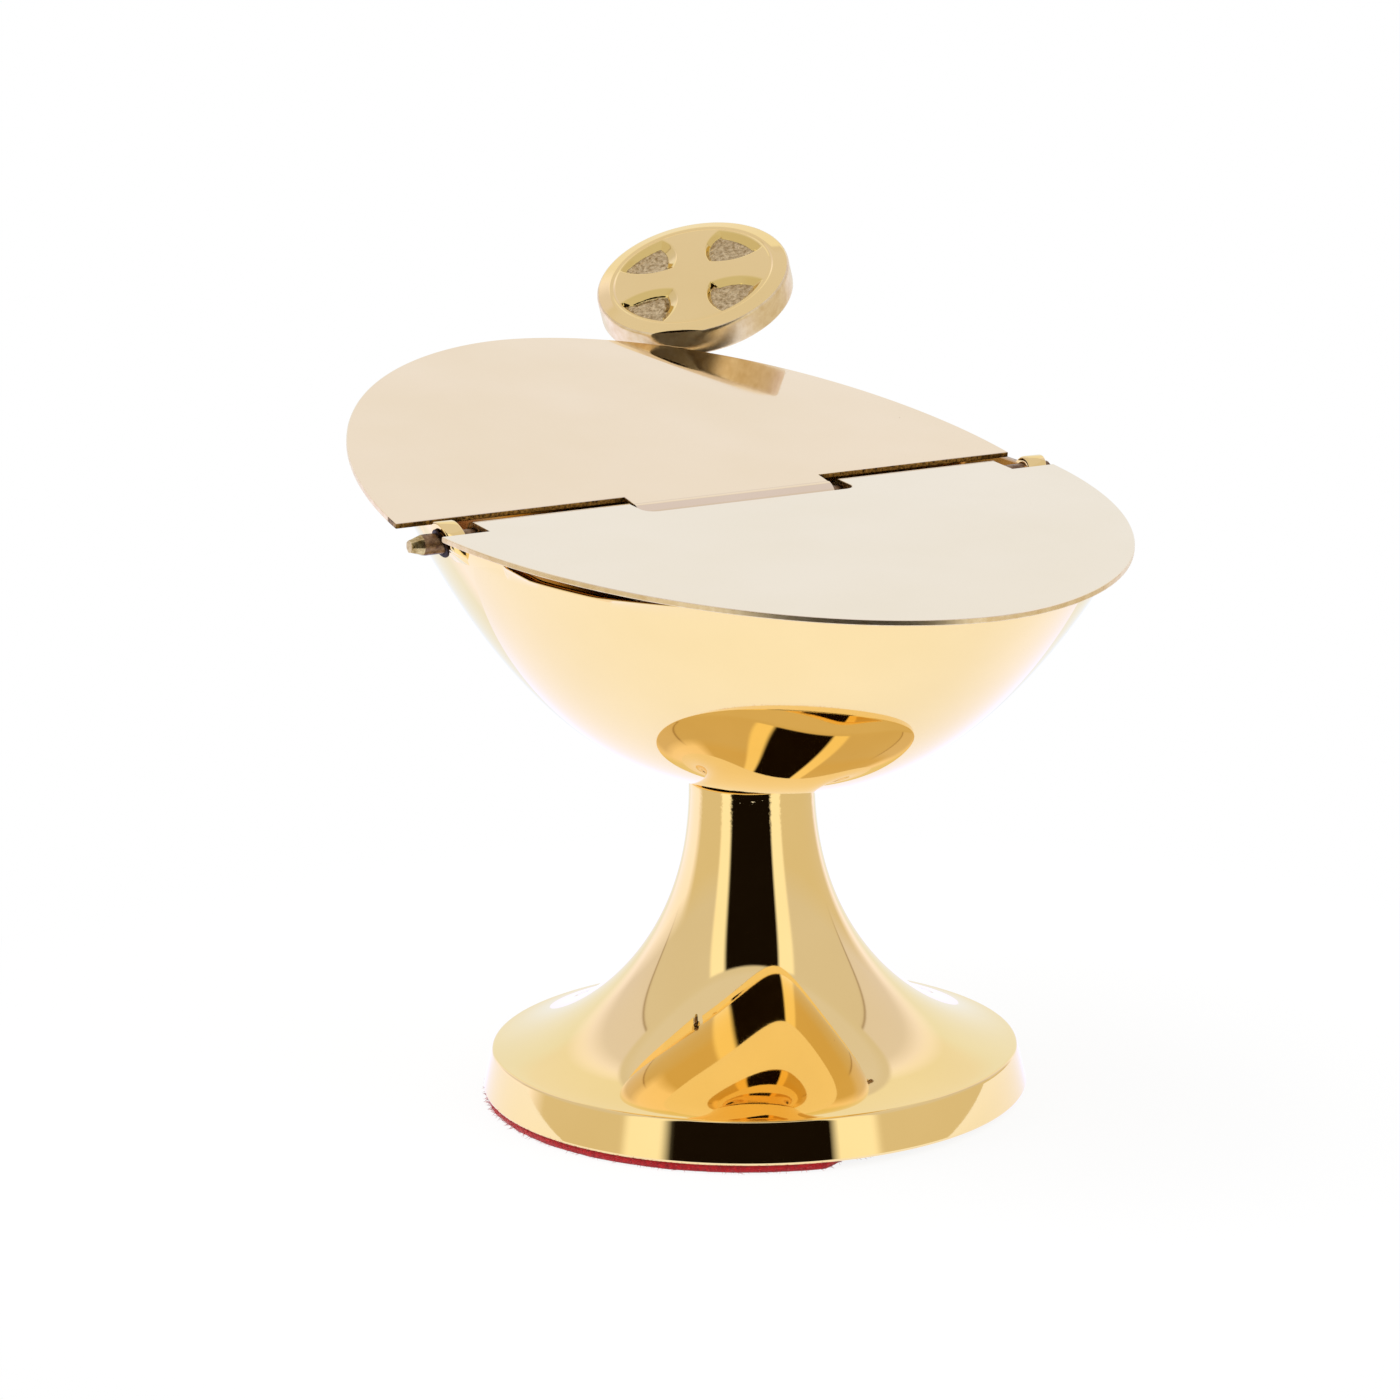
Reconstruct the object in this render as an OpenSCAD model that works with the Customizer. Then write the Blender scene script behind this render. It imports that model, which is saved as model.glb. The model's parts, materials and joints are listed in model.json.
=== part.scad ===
// Incense boat: footed oval bowl with two half lids on one hinge pin and a cross medallion.
// Millimetres. Origin at the middle of the base, +Z up, +X along the boat to the plain front
// lid, Y along the hinge pin.

/* [Foot] */

// Outside diameter of the foot at its band
foot_d = 70; // [60:1:85]
// Thickness of the felt under the foot
felt_t = 1.0; // [0.6:0.2:2]
// Height of the crease above the felt's underside, where the band meets the flare
band_top = 6.4; // [5:0.2:9]
// How much the band draws in towards the crease, on the radius
band_draw = 1.4; // [0.4:0.2:2.4]
// How far the flare runs in nearly level from the crease
flare_in = 5.6; // [4:0.1:8]
// How much it rises there
flare_lift = 0.6; // [0.4:0.1:1.2]
// Height above the crease at which the flare turns up into the stem
flare_reach = 8.6; // [7:0.1:11]
// Height at which the stem meets the bowl
stem_top = 41.3; // [36.3:0.1:48]
// Stem diameter at its neck
stem_d = 16.2; // [13:0.2:20]
// Wall of the hollow foot
foot_wall = 1.8; // [1.4:0.1:2.6]
// Height of the seat inside the foot for the washer
seat_z = 22; // [20:0.5:24]

/* [Stud] */

// Diameter of the threaded stud that ties the bowl to the foot
stud_d = 5; // [4:0.5:6]
// Clearance between the stud and the bore of the foot, on the radius
stud_gap = 0.1; // [0.05:0.05:0.3]
// Washer diameter
washer_d = 14; // [11:0.5:16]
// Washer thickness
washer_t = 1.2; // [0.8:0.2:2]
// Nut across flats
nut_af = 8; // [7:0.5:10]
// Nut thickness
nut_t = 4; // [3:0.5:5]

/* [Bowl] */

// Half length of the bowl at its rim
bowl_a = 58.4; // [52:0.2:66]
// Half width of the bowl at its rim
bowl_b = 42.0; // [38:0.2:48]
// Squareness of the oval: 2 is an ellipse, less is more pointed
boat_n = 1.888; // [1.7:0.01:2.2]
// Fullness of the bowl's side: smaller is fuller at the bottom
bowl_full = 0.4; // [0.34:0.002:0.5]
// Height of the bowl's underside
bowl_z = 41.6; // [36.6:0.1:48.3]
// Height of the rim over the middle of the foot
rim_z = 76.95; // [72:0.05:84]
// Fall of the rim towards the front, in degrees
rim_fall = 3.2; // [2:0.1:4]
// Wall of the bowl
bowl_wall = 1.4; // [1.0:0.1:2.2]
// Half length of the raised stretch of rim at each ear
raise_x = 11; // [8:0.5:14]
// How far that stretch stands above the rim
raise_h = 0.8; // [0.4:0.1:0.9]

/* [Hinge] */

// Pin diameter
pin_d = 2.6; // [2:0.1:3]
// Height of the pin's axis above the rim's middle, negative is below
pin_over = -0.35; // [-0.6:0.05:0]
// Clearance between pin and knuckles, on the radius
pin_gap = 0.05; // [0.02:0.01:0.1]
// How far the pin's left end stands out of the left ear
pin_out = 4.4; // [2.8:0.1:7]
// How far the pin's right end stands out of the right ear
pin_out_right = 1.8; // [1.2:0.1:5]
// Length of the tapered point at the pin's left end
pin_point = 1.6; // [0.6:0.1:2.4]
// How far the ears' outer faces stand proud of the bowl's rim, at the pin
ear_proud = 1.1; // [0.8:0.1:2]
// Ear thickness along the pin
ear_t = 2.6; // [2:0.1:3.2]
// Outward lean of the ears, which follow the bowl's side, in degrees
ear_lean = 18; // [0:1:22]
// Left ear's radius over the pin
ear_r = 2.65; // [2.3:0.05:2.8]
// Right ear's radius over the pin, filed lower
ear_low_r = 2.2; // [2.1:0.05:2.8]
// Knuckle outside radius
knuckle_r = 2.1; // [1.9:0.05:2.3]
// Room between the left ear and the front lid's left knuckle
left_room = 1.7; // [1.5:0.1:4]
// Right end of the front lid's left knuckle
fk_left_b = -17; // [-20:0.1:-16.8]
// Left end of the rear lid's knuckle
rk_a = -16.6; // [-16.6:0.1:-12]
// Right end of the rear lid's knuckle
rk_b = 11.5; // [8:0.1:12.8]
// Left end of the front lid's right knuckle
fk_right_a = 13.1; // [13.1:0.1:16]
// Room between the front lid's right knuckle and the right ear
right_room = 4; // [2:0.1:6]
// Thin washer at the left ear, radius
shim_r = 2.05; // [1.8:0.05:2.6]
// Thin washer thickness
shim_t = 0.45; // [0.3:0.05:0.8]

/* [Lids] */

// Half length of the boat outline of the lids
lid_a = 62.1; // [55:0.1:68]
// Half width of the outline
lid_b = 44.2; // [40:0.1:50]
// Sheet thickness
sheet_t = 0.7; // [0.6:0.05:0.9]
// Slope of the closed front lid, down to the front, in degrees
front_slope = 4.2; // [4.2:0.1:5]
// Slope of the rear lid when closed, up to the rear, in degrees
rear_closed = 2.2; // [2.2:0.1:3]
// How far the rear lid stands ajar, in degrees
rear_ajar = 8.3; // [0:0.1:20]
// Front lid's sideways offset along the pin
front_slide = -1.3; // [-1.6:0.1:1]
// Rear lid's sideways offset along the pin
rear_slide = -4.0; // [-4.4:0.1:2]
// Cut-back of the rear lid beside its knuckle
rear_cut = 2.6; // [2.6:0.1:3.4]
// Cut-back of the front lid's edge between its knuckles
front_notch = 4.4; // [3.8:0.1:6]
// Cut-back of the front lid beside the ears
ear_notch = 4.4; // [4:0.1:6]
// Corner radius of the front lid's notch
notch_r = 1.6; // [0.6:0.1:2]

/* [Medallion] */

// Medallion diameter
medal_d = 26.9; // [24:0.1:28]
// Medallion thickness
medal_t = 4.2; // [3.9:0.1:4.6]
// Rounding of the medallion's edges
medal_round = 0.9; // [0.5:0.1:1.2]
// Its face's middle, along the rear lid from the pin
medal_x = 62.1; // [61.6:0.1:62.6]
// Its face's middle, to the side
medal_y = 25.2; // [24.8:0.1:25.6]
// Its face's middle, above the lid's top
medal_z = 6.7; // [6.3:0.1:6.9]
// Direction it points, in degrees from the lid's tip
medal_turn = 26.6; // [22:0.2:32]
// Upward lean, in degrees
medal_lean = 16; // [14:0.1:18]
// Sideways roll, in degrees
medal_roll = 15.8; // [13:0.1:17]
// Width of the raised border
border_w = 1.9; // [1.4:0.1:2.6]
// Half width of the cross at its waist
cross_waist = 1.9; // [1.4:0.1:2.4]
// Half width of the cross at its ends
cross_end = 4.3; // [3.4:0.1:4.6]
// Distance of the waist from the middle
cross_at = 5.2; // [4.6:0.1:5.6]
// Depth of the four fields
field_depth = 1.1; // [0.6:0.1:1.4]
// Width of the thin line between the cross and the border
line_w = 0.35; // [0.2:0.05:0.6]
// Depth of that line
line_depth = 0.3; // [0.15:0.05:0.5]

/* [Hidden] */

$fn = 96;
pin_r = pin_d / 2;
bore_r = pin_r + pin_gap;
pin_z = rim_z + pin_over;
ear_out = bowl_b + ear_proud;
pin_left = ear_out + pin_out;
pin_right = ear_out + pin_out_right;
fk_left_a = left_room - (ear_out - ear_t);
fk_right_b = ear_out - ear_t - right_room;
top_w = knuckle_r;
low_w = top_w - sheet_t;
rear_slope = rear_closed + rear_ajar;
foot_r = foot_d / 2;
crease_r = foot_r - band_draw;
neck_r = stem_d / 2;
rim_h = rim_z - bowl_z;
medal_r = medal_d / 2;
field_r = medal_r - border_w;
nut_z = seat_z - washer_t - nut_t;
far = 200;
ear_foot = 3.4;
rim_room = 0.6;

// ---- shared shapes ----

function sgn_pow(c) = sign(c) * pow(abs(c), 2 / boat_n);

// A point of the boat's oval
function oval(ang, a, b) = [a * sgn_pow(cos(ang)), b * sgn_pow(sin(ang))];

// A cubic curve through its two end points
function bend(t, p, q, r, s) =
    pow(1 - t, 3) * p + 3 * pow(1 - t, 2) * t * q + 3 * (1 - t) * t * t * r + pow(t, 3) * s;

// Outside of the flare, from the crease up to the neck
function flare(inset) = [
    for (i = [0:24])
        bend(i / 24, [crease_r, band_top], [crease_r - flare_in, band_top + flare_lift],
            [neck_r - 0.05, band_top + flare_reach], [neck_r - 0.05, stem_top - 1.4]) - [inset, 0]
];

module oval_2d(a, b) {
    polygon([for (i = [0:179]) oval(i * 2, a, b)]);
}

// A ring round the pin's axis, from one place along Y to another
module barrel(r, from, to) {
    translate([0, from, 0])
        rotate([-90, 0, 0])
            cylinder(r = r, h = to - from);
}

// ---- foot ----

module felt_pad() {
    color("firebrick")
        cylinder(r = foot_r - 0.3, h = felt_t);
}

module foot_outline() {
    polygon(concat(
        [[0, felt_t], [foot_r - 0.3, felt_t], [foot_r, felt_t + 0.3]],
        [[crease_r + 0.25, band_top - 0.25]],
        flare(0),
        [[neck_r + 0.1, stem_top - 1.1], [neck_r - 0.7, stem_top], [0, stem_top]]
    ));
}

module foot_hollow() {
    polygon(concat(
        [[0, felt_t - 1], [foot_r - foot_wall, felt_t - 1], [crease_r - foot_wall, band_top - 1.5]],
        [for (p = flare(foot_wall)) if (p[1] > band_top + 0.2 && p[1] < seat_z - 1) p - [0, 1.2]],
        [[washer_d / 2 + 1, seat_z], [0, seat_z]]
    ));
}

module foot() {
    color("goldenrod")
        rotate_extrude() {
            difference() {
                foot_outline();
                foot_hollow();
                square([stud_d / 2 + stud_gap, stem_top + 1]);
            }
        }
}

module foot_washer() {
    color("darkgoldenrod")
        translate([0, 0, seat_z - washer_t])
            difference() {
                cylinder(r = washer_d / 2, h = washer_t);
                translate([0, 0, -1])
                    cylinder(r = stud_d / 2 + 0.2, h = washer_t + 2);
            }
}

module foot_nut() {
    color("darkgoldenrod")
        translate([0, 0, nut_z])
            difference() {
                intersection() {
                    cylinder(r = nut_af / 2 / cos(30), h = nut_t, $fn = 6);
                    translate([0, 0, nut_t / 2])
                        rotate_extrude()
                            polygon([
                                [0, -nut_t / 2], [nut_af / 2 - 0.2, -nut_t / 2], [nut_af / 2 + 1, -nut_t / 2 + 0.7],
                                [nut_af / 2 + 1, nut_t / 2 - 0.7], [nut_af / 2 - 0.2, nut_t / 2], [0, nut_t / 2]
                            ]);
                }
                translate([0, 0, -1])
                    cylinder(r = stud_d / 2, h = nut_t + 2);
            }
}

// The stud is brazed into the bowl's floor and drawn down by the nut
module stem_stud() {
    color("darkgoldenrod")
        translate([0, 0, nut_z - 2])
            rotate_extrude()
                polygon([
                    [0, 0], [stud_d / 2 - 0.5, 0], [stud_d / 2, 0.5],
                    [stud_d / 2, stem_top + 2 - nut_z + 2], [0, stem_top + 2 - nut_z + 2]
                ]);
}

// ---- bowl ----

// Places round the oval, with extra ones at the ends of the raised stretches
function raise_ang(x) = acos(pow(x / bowl_a, boat_n / 2));
function quarter() = concat(
    [for (i = [0:17]) i * raise_ang(raise_x + 0.9) / 18],
    [raise_ang(raise_x + 0.9), raise_ang(raise_x)],
    [for (i = [1:3]) raise_ang(raise_x) + i * (90 - raise_ang(raise_x)) / 4]
);
function round_angles() = concat(
    quarter(),
    [90],
    [for (i = [len(quarter()) - 1:-1:1]) 180 - quarter()[i]],
    [for (a = quarter()) 180 + a],
    [270],
    [for (i = [len(quarter()) - 1:-1:1]) 360 - quarter()[i]]
);

// One ring of the shell: half axes, height share, offset, and 1 where the raised stretch counts
function shell_ring(a, b, t, dz, lift) = [
    for (ang = angles)
        let (p = oval(ang, a, b))
        let (edge = raise_ang(raise_x))
        let (up = abs(sin(ang)) >= sin(edge) - 0.0001 ? raise_h : 0)
        [p[0], p[1], bowl_z + dz + t * (rim_h - dz - p[0] * tan(rim_fall)) + lift * up]
];
angles = round_angles();
count = len(angles);
out_n = 16;
in_n = 12;
strip = 0.6;

function share(i, n) = pow(i / n, 2) * (1 - strip / rim_h);

function outer_rings() = [
    for (i = [1:out_n])
        let (t = share(i, out_n))
        shell_ring(bowl_a * pow(t, bowl_full), bowl_b * pow(t, bowl_full), t, 0, 0)
];
function inner_rings() = [
    for (i = [in_n:-1:1])
        let (t = share(i, in_n))
        let (s = pow(t, bowl_full))
        shell_ring((bowl_a - bowl_wall) * s, (bowl_b - bowl_wall) * s, t, bowl_wall, 0)
];
rings = concat(
    outer_rings(),
    [shell_ring(bowl_a, bowl_b, 1, 0, 1)],
    [shell_ring(bowl_a - bowl_wall, bowl_b - bowl_wall, 1, 0, 1)],
    inner_rings()
);

module shell() {
    pts = [for (r = rings) for (p = r) p];
    last = len(rings) - 1;
    low = len(pts);
    high = low + 1;
    polyhedron(
        points = concat(pts, [[0, 0, rings[0][0][2]], [0, 0, rings[last][0][2]]]),
        faces = concat(
            [for (i = [0:last - 1]) for (j = [0:count - 1])
                [i * count + j, (i + 1) * count + j, (i + 1) * count + (j + 1) % count]],
            [for (i = [0:last - 1]) for (j = [0:count - 1])
                [i * count + j, (i + 1) * count + (j + 1) % count, i * count + (j + 1) % count]],
            [for (j = [0:count - 1]) [low, j, (j + 1) % count]],
            [for (j = [0:count - 1]) [high, last * count + (j + 1) % count, last * count + j]]
        )
    );
}

// The bowl's wall carried up over the pin: an arch between two faces that lean outwards
module ear(side, r) {
    intersection() {
        union() {
            translate([0, 0, pin_z])
                barrel(r, -far, far);
            translate([-r, -far, pin_z - ear_foot])
                cube([2 * r, 2 * far, ear_foot]);
        }
        translate([0, side * (ear_out - ear_t / 2), pin_z])
            rotate([-side * ear_lean, 0, 0])
                cube([far, ear_t * cos(ear_lean), far], center = true);
    }
}

module bowl() {
    color("gold")
        difference() {
            union() {
                shell();
                ear(-1, ear_r);
                ear(1, ear_low_r);
                translate([0, 0, stem_top])
                    cylinder(r = neck_r - 0.9, h = 3.2);
            }
            translate([0, 0, pin_z])
                barrel(pin_r, -far, far);
            translate([0, 0, stem_top - 1])
                cylinder(r = stud_d / 2, h = 3);
        }
}

// ---- hinge pin ----

module hinge_pin() {
    color("sienna")
        translate([0, -pin_left, pin_z])
            rotate([-90, 0, 0])
                rotate_extrude()
                    polygon([
                        [0, 0], [pin_r - 0.5, 0], [pin_r, pin_point],
                        [pin_r, pin_left + pin_right - 0.3], [pin_r - 0.3, pin_left + pin_right],
                        [0, pin_left + pin_right]
                    ]);
}

// The washer lies flat on the left ear's leaning face
module pin_washer() {
    color("saddlebrown")
        difference() {
            translate([0, -ear_out, pin_z])
                rotate([ear_lean, 0, 0])
                    barrel(shim_r, -shim_t, 0);
            translate([0, 0, pin_z])
                barrel(pin_r, -far, far);
        }
}

// ---- lids, drawn flat about the pin's axis and then turned to their slopes ----

module front_plate_2d() {
    difference() {
        intersection() {
            translate([0, front_slide])
                oval_2d(lid_a, lid_b);
            translate([0, -far])
                square([far, 2 * far]);
        }
        translate([-1, fk_left_b])
            square([front_notch + 1 - notch_r, fk_right_a - fk_left_b]);
        translate([-1, fk_left_b + notch_r])
            square([front_notch + 1, fk_right_a - fk_left_b - 2 * notch_r]);
        translate([front_notch - notch_r, fk_left_b + notch_r])
            circle(r = notch_r);
        translate([front_notch - notch_r, fk_right_a - notch_r])
            circle(r = notch_r);
        translate([-1, -far])
            square([ear_notch + 1, far + fk_left_a]);
        translate([-1, fk_right_b])
            square([ear_notch + 1, far]);
    }
}

module front_lid() {
    color("khaki")
        translate([0, 0, pin_z])
            rotate([0, front_slope, 0])
                difference() {
                    union() {
                        translate([0, 0, low_w])
                            linear_extrude(height = sheet_t)
                                front_plate_2d();
                        barrel(knuckle_r, fk_left_a, fk_left_b);
                        barrel(knuckle_r, fk_right_a, fk_right_b);
                    }
                    barrel(bore_r, -far, far);
                }
}

module rear_plate_2d() {
    difference() {
        intersection() {
            translate([0, rear_slide])
                oval_2d(lid_a, lid_b);
            translate([-far, -far])
                square([far, 2 * far]);
        }
        translate([-rear_cut, -far])
            square([rear_cut + 1, far + rk_a]);
        translate([-rear_cut, rk_b])
            square([rear_cut + 1, far]);
    }
}

module rear_lid() {
    color("khaki")
        translate([0, 0, pin_z])
            rotate([0, rear_slope, 0])
                difference() {
                    union() {
                        translate([0, 0, low_w])
                            linear_extrude(height = sheet_t)
                                rear_plate_2d();
                        barrel(knuckle_r, rk_a, rk_b);
                    }
                    barrel(bore_r, -far, far);
                }
}

// ---- medallion ----

module medal_blank() {
    rotate_extrude() {
        translate([0, -medal_t])
            square([medal_r - medal_round, medal_t]);
        translate([0, medal_round - medal_t])
            square([medal_r, medal_t - 2 * medal_round]);
        translate([medal_r - medal_round, -medal_round])
            circle(r = medal_round);
        translate([medal_r - medal_round, medal_round - medal_t])
            circle(r = medal_round);
    }
}

// Each field is bounded by two arcs, the sides of the cross arms, and by the border
bow_y = (pow(sqrt(pow(field_r, 2) - pow(cross_end, 2)) - cross_at, 2)
    + pow(cross_end, 2) - pow(cross_waist, 2)) / (2 * (cross_end - cross_waist));
bow_r = bow_y - cross_waist;

module field_2d() {
    intersection() {
        translate([cross_at, bow_y])
            circle(r = bow_r);
        translate([bow_y, cross_at])
            circle(r = bow_r);
        circle(r = field_r - line_w);
    }
}

module medal() {
    difference() {
        medal_blank();
        for (q = [0:3])
            rotate([0, 0, 90 * q])
                translate([0, 0, -field_depth])
                    linear_extrude(height = field_depth + 1)
                        field_2d();
        translate([0, 0, -line_depth])
            difference() {
                cylinder(r = field_r, h = line_depth + 1);
                translate([0, 0, -1])
                    cylinder(r = field_r - line_w, h = line_depth + 3);
            }
    }
}

// The medallion is brazed to the rear lid's edge, so its foot is shaped to that edge, and below
// the lid it is cut back to pass the bowl's rim
module medallion() {
    color("gold")
        translate([0, 0, pin_z])
            rotate([0, rear_slope, 0])
                difference() {
                    translate([-medal_x, medal_y, top_w + medal_z])
                        rotate([0, 0, 180 - medal_turn])
                            rotate([0, -medal_lean, 0])
                                rotate([-medal_roll, 0, 0])
                                    medal();
                    translate([0, rear_slide, -far / 2])
                        linear_extrude(height = far)
                            oval_2d(lid_a, lid_b);
                    translate([0, 0, low_w - far])
                        linear_extrude(height = far)
                            oval_2d(bowl_a + rim_room, bowl_b + rim_room);
                }
}

// ---- whole ----

felt_pad();
foot();
foot_washer();
foot_nut();
stem_stud();
bowl();
hinge_pin();
pin_washer();
front_lid();
rear_lid();
medallion();
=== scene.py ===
# %% [markdown]
# # A brass incense boat
# The real object is a small altar vessel of cast, turned and polished brass. A trumpet foot
# carries an oval bowl, two half lids turn on one pin across the bowl, and a round medallion with
# a cross is the thumb-piece of the rear lid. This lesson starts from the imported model, which
# says where every part is, and gives each part its smooth skin, its small details and its finish.

# %% Load the frame
import json
import math

import bpy
import numpy as np
from mathutils import Matrix, Vector, noise


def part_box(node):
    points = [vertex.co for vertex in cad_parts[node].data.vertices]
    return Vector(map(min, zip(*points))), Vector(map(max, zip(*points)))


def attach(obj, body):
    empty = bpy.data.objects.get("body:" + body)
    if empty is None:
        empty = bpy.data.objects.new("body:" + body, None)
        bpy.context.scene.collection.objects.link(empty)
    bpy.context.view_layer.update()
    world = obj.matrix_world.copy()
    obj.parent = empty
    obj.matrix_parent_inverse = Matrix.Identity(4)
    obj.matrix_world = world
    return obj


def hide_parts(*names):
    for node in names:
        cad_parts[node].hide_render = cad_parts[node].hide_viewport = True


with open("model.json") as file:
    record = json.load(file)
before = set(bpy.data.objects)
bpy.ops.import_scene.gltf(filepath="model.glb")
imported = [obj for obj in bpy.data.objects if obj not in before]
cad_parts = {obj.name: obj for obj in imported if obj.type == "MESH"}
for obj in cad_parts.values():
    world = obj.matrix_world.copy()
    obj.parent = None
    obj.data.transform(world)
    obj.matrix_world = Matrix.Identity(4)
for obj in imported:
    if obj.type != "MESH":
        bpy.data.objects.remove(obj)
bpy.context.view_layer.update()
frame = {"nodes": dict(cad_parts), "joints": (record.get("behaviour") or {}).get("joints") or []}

# %% [markdown]
# ## One way to build a mesh, one way to build a material
# Turned and stretched metalwork is a grid of points bent into shape, so one function joins the
# points of a grid with quads, and one function turns points and faces into an object. Sizes are
# written in millimetres, as a maker would, and become metres at the last step. Where the packed
# model knows a size, it is read from there. A sharp corner stays sharp where two faces meet at
# more than a given angle.

# %% Mesh helpers
MM = 0.001


def grid_faces(rows, cols, wrap_rows=False, wrap_cols=True):
    """Quads between neighbouring points of a grid that may close on itself either way."""
    faces = []
    for i in range(rows if wrap_rows else rows - 1):
        for j in range(cols if wrap_cols else cols - 1):
            k, m = (i + 1) % rows, (j + 1) % cols
            faces.append((i * cols + j, i * cols + m, k * cols + m, k * cols + j))
    return faces


def make_piece(name, points, faces, sharp=180):
    """A mesh object from points in millimetres, smooth except at corners over sharp degrees."""
    mesh = bpy.data.meshes.new(name)
    mesh.from_pydata((np.asarray(points, float) * MM).tolist(), [], faces)
    mesh.update()
    mesh.shade_smooth()
    if sharp < 180:
        mesh.set_sharp_from_angle(angle=math.radians(sharp))
    piece = bpy.data.objects.new(name, mesh)
    bpy.context.scene.collection.objects.link(piece)
    return piece


def ring(radius, height, steps):
    """Points on a level circle. The height is one number, or one for each point."""
    ang = np.linspace(0, 2 * math.pi, steps, endpoint=False)
    return np.column_stack([radius * np.cos(ang), radius * np.sin(ang),
                            np.broadcast_to(height, steps)])


def turn_up(name, profile, steps, sharp=40, place=None):
    """A closed outline of (radius, height) points turned round the Z axis, as on a lathe."""
    points = np.concatenate([ring(r, z, steps) for r, z in profile])
    faces = [tuple(reversed(f)) for f in grid_faces(len(profile), steps, wrap_rows=True)]
    if place is not None:
        points = place(points)
    return make_piece(name, points, faces, sharp)


def bezier(p, q, r, s, n):
    """n + 1 points of a cubic curve."""
    t = np.linspace(0, 1, n + 1)[:, None]
    p, q, r, s = (np.array(v, float) for v in (p, q, r, s))
    return (1 - t) ** 3 * p + 3 * (1 - t) ** 2 * t * q + 3 * (1 - t) * t ** 2 * r + t ** 3 * s


def tri_count(piece):
    return sum(len(f.vertices) - 2 for f in piece.data.polygons)


def corners(node):
    """The lowest and the highest corner of a part of the frame, in millimetres."""
    return [[round(v / MM, 2) for v in corner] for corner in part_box(node)]


# %% Colours and nodes
def linear(code):
    """An sRGB hex colour as the linear RGBA that the shaders expect."""
    parts = [int(code[i:i + 2], 16) / 255 for i in (1, 3, 5)]
    light = [c / 12.92 if c <= 0.04045 else ((c + 0.055) / 1.055) ** 2.4 for c in parts]
    return tuple(light) + (1.0,)


def feed(tree, node, inputs):
    """Sets each input of a node to a value, or links it to a socket."""
    for key, value in inputs.items():
        if isinstance(value, bpy.types.NodeSocket):
            tree.links.new(value, node.inputs[key])
        else:
            node.inputs[key].default_value = value


def add(tree, kind, inputs=None, **settings):
    """Adds one node with its settings and its inputs."""
    node = tree.nodes.new(kind)
    for key, value in settings.items():
        setattr(node, key, value)
    feed(tree, node, inputs or {})
    return node


def ramp(tree, fac, stops):
    """A colour ramp from (position, colour) pairs."""
    node = add(tree, "ShaderNodeValToRGB", {"Fac": fac})
    spots = node.color_ramp.elements
    while len(spots) < len(stops):
        spots.new(1.0)
    for spot, (place, colour) in zip(spots, stops):
        spot.position, spot.color = place, colour
    return node.outputs["Color"]


def start_material(name):
    """An empty material and its tree, with the shader and the object's own coordinates."""
    mat = bpy.data.materials.new(name)
    mat.use_nodes = True
    tree = mat.node_tree
    shader = tree.nodes["Principled BSDF"]
    place = add(tree, "ShaderNodeTexCoord").outputs["Object"]
    return mat, tree, shader, place


def per_mm(size_mm):
    """The texture scale whose pattern repeats about every size_mm."""
    return 1 / (size_mm * MM)


def grey(v):
    return (v, v, v, 1.0)


def grain(tree, place, size_mm, detail, roughness=0.5):
    """Soft random grains about size_mm wide."""
    return add(tree, "ShaderNodeTexNoise",
               {"Vector": place, "Scale": per_mm(size_mm), "Detail": detail,
                "Roughness": roughness}).outputs["Fac"]


def climb(tree, value, low, high, start=0.0, end=1.0):
    """Goes from start to end while the value goes from low to high."""
    return add(tree, "ShaderNodeMapRange", {"Value": value, "From Min": low, "From Max": high,
                                            "To Min": start, "To Max": end}).outputs["Result"]


def maths(tree, operation, *values):
    """The result of one sum with sockets or numbers."""
    return add(tree, "ShaderNodeMath", dict(enumerate(values)), operation=operation).outputs[0]


def blend(tree, amount, first, second, kind="MIX"):
    """The first colour where amount is 0, and the second where it is 1."""
    return add(tree, "ShaderNodeMix", {"Factor": amount, 6: first, 7: second},
               data_type="RGBA", blend_type=kind).outputs[2]


def bumped(tree, height, depth_mm, strength=1.0, under=None):
    """The normal of a skin that rises by depth_mm where height is 1, over another normal."""
    inputs = {"Height": height, "Strength": strength, "Distance": depth_mm * MM}
    if under is not None:
        inputs["Normal"] = under
    return add(tree, "ShaderNodeBump", inputs).outputs["Normal"]


# %% [markdown]
# ## Polished brass
# Brass is copper and zinc. Buffed on a wheel it is a near mirror, so most of what the eye sees
# is the room: the metal only tints it, a little at one bounce and to deep gold where light
# bounces between the foot and the bowl. What is left of the making shows as a very faint
# unevenness from the buffing wheel, casting pores here and there, and fine lathe marks at the
# top of the stem, where the wheel doesn't reach. The base colour is the tint of one bounce.
# For the lids the tint is paler: a painted reflection of the bright backdrop is mixed into it.

# %% Brass finishes
# The sheet's tint is brass made paler by a painted reflection of the bright backdrop
CAST_BRASS, SHEET_BRASS_AND_GLARE, PORE_BRASS = "#F8DA92", "#F3DEBB", "#8A6A3C"
CLOUD_MM, SMEAR_MM = 18, 9
PORE_SIZE, CLEAN_SHARE, PORE_ROUGH = 0.022, 0.45, 0.35
MARK_LONG, MARK_FINE, MARKS_FROM, MARKS_FULL = 0.9, 0.4, 35, 39


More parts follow.
